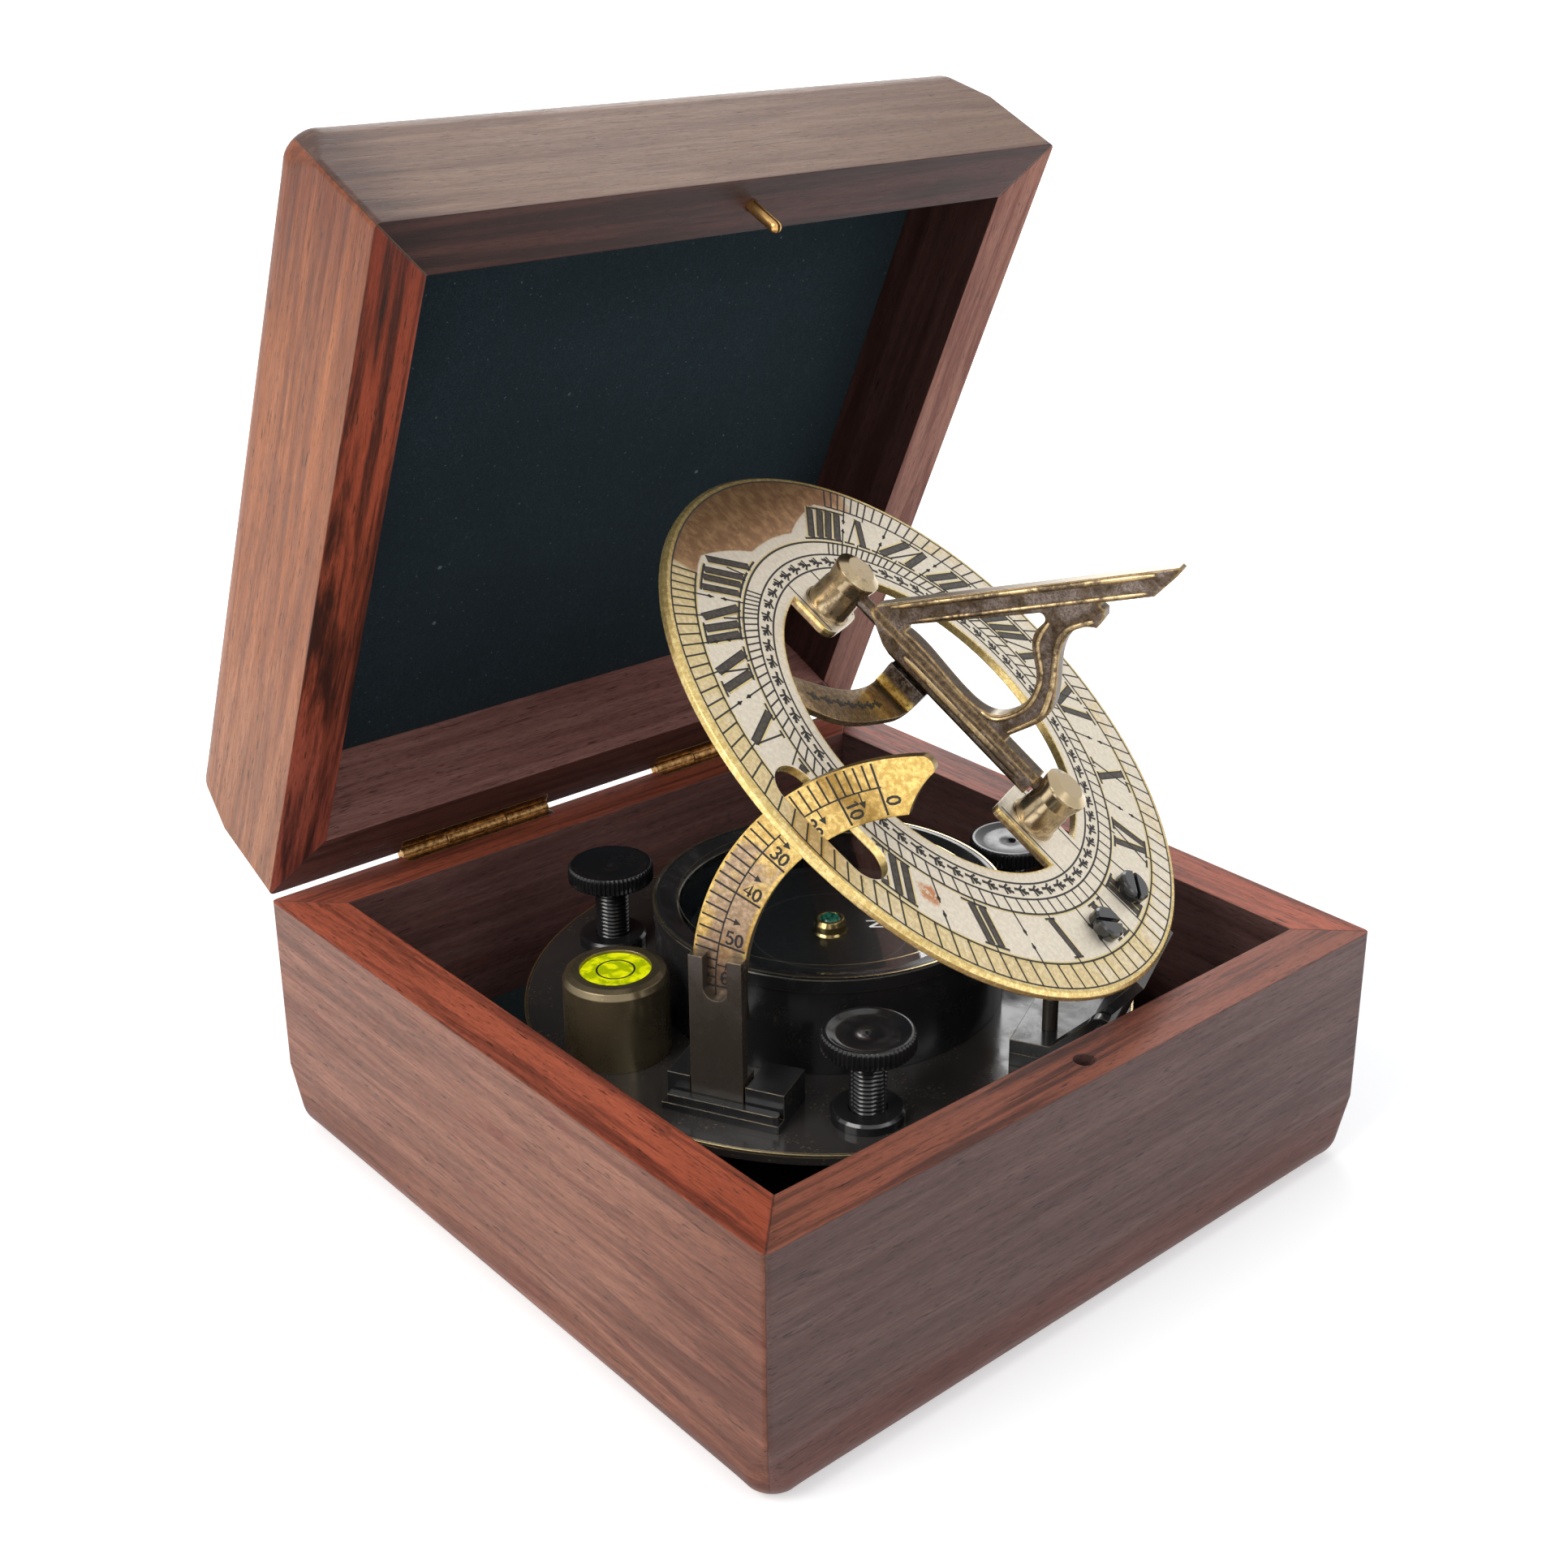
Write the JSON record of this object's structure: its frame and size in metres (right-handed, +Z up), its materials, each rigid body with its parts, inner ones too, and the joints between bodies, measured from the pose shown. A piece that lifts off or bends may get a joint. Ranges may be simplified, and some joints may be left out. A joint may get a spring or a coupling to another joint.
{
  "type": "compass box",
  "caption": "Square hardwood case with a hinged lid, holding a brass inclining dial over a magnetic compass, with a folding gnomon, a latitude arc and levelling screws.",
  "frame": {"origin": "centre of the case's underside", "axes": "+X along the hinge line, +Y towards the hinge, +Z up; the lid stands open"},
  "size_m": [0.145, 0.1723, 0.1921],
  "materials": {
    "wood_dark": "satin",
    "wood_red": "satin",
    "green_felt": "matte",
    "aged_brass": "satin",
    "silvered_brass": "satin",
    "black_brass": "gloss",
    "clear_glass": "gloss",
    "level_green": "gloss",
    "steel": "satin",
    "black_card": "matte",
    "green_jewel": "gloss"
  },
  "bodies": {
    "base": {"base_wall_front": "wood_dark", "base_wall_right": "wood_dark", "base_wall_back": "wood_dark", "base_wall_left": "wood_red", "base_floor": "wood_dark", "base_insert": "wood_dark", "base_felt": "green_felt", "hinge_base_leaf_left": "aged_brass", "hinge_base_leaf_right": "aged_brass", "hinge_pin_left": "aged_brass", "hinge_pin_right": "aged_brass", "base_plate": "black_brass", "screw_boss_front": "black_brass", "screw_boss_right": "black_brass", "screw_boss_back": "black_brass", "compass_bowl": "black_brass", "compass_bezel": "black_brass", "compass_glass": "clear_glass", "compass_pivot": "steel", "level_body": "black_brass", "level_liquid": "level_green", "level_window": "clear_glass", "latitude_arc": "silvered_brass", "arc_post": "black_brass", "arc_foot": "black_brass", "arc_pivot_pin": "black_brass", "arc_stop_bar": "black_brass", "bracket_base": "black_brass", "dial_bracket": "black_brass", "dial_hinge_pin": "aged_brass", "bracket_stud": "black_brass"},
    "lid": {"lid_wall_front": "wood_dark", "lid_wall_right": "wood_red", "lid_wall_back": "wood_dark", "lid_wall_left": "wood_red", "lid_panel": "wood_dark", "lid_felt": "green_felt", "hinge_lid_leaf_left": "aged_brass", "hinge_lid_leaf_right": "aged_brass", "latch_pin": "aged_brass"},
    "dial": {"dial_plate": "silvered_brass", "dial_leaf": "black_brass", "dial_screw_west": "black_brass", "dial_screw_east": "black_brass", "gnomon_post_north": "aged_brass", "gnomon_post_south": "aged_brass", "post_nut_north": "aged_brass", "post_nut_south": "aged_brass"},
    "gnomon": {"gnomon": "aged_brass", "gnomon_cam": "aged_brass"},
    "card": {"compass_card": "black_card", "compass_magnet": "steel", "card_cap": "aged_brass", "card_jewel": "green_jewel"},
    "screw_front": {"levelling_screw_front": "black_brass"},
    "screw_right": {"levelling_screw_right": "black_brass"},
    "screw_back": {"levelling_screw_back": "black_brass"}
  },
  "joints": [
    {"name": "lid_hinge", "type": "hinge", "parent": "base", "child": "lid", "pos_m": [0, 0.0731, 0.0482], "axis": [-1, 0, 0], "range_deg": [-14, 39]},
    {"name": "dial_tilt", "type": "hinge", "parent": "base", "child": "dial", "pos_m": [0.02551, -0.05281, 0.0437], "axis": [0.8934, 0.4493, 0], "range_deg": [-38.3, 11.2]},
    {"name": "gnomon_fold", "type": "hinge", "parent": "dial", "child": "gnomon", "pos_m": [0.01238, -0.02315, 0.0953], "axis": [-0.3066, 0.6988, 0.6463], "range_deg": [0, 90]},
    {"name": "card_spin", "type": "hinge", "parent": "base", "child": "card", "pos_m": [0.0024, -0.0013, 0.0438], "axis": [0, 0, 1], "continuous": true},
    {"name": "screw_spin_front", "type": "hinge", "parent": "base", "child": "screw_front", "pos_m": [-0.02269, -0.0395, 0.048], "axis": [0, 0, 1], "continuous": true},
    {"name": "screw_spin_right", "type": "hinge", "parent": "base", "child": "screw_right", "pos_m": [0.04802, -0.00393, 0.048], "axis": [0, 0, 1], "continuous": true},
    {"name": "screw_spin_back", "type": "hinge", "parent": "base", "child": "screw_back", "pos_m": [-0.01813, 0.03953, 0.048], "axis": [0, 0, 1], "continuous": true}
  ]
}
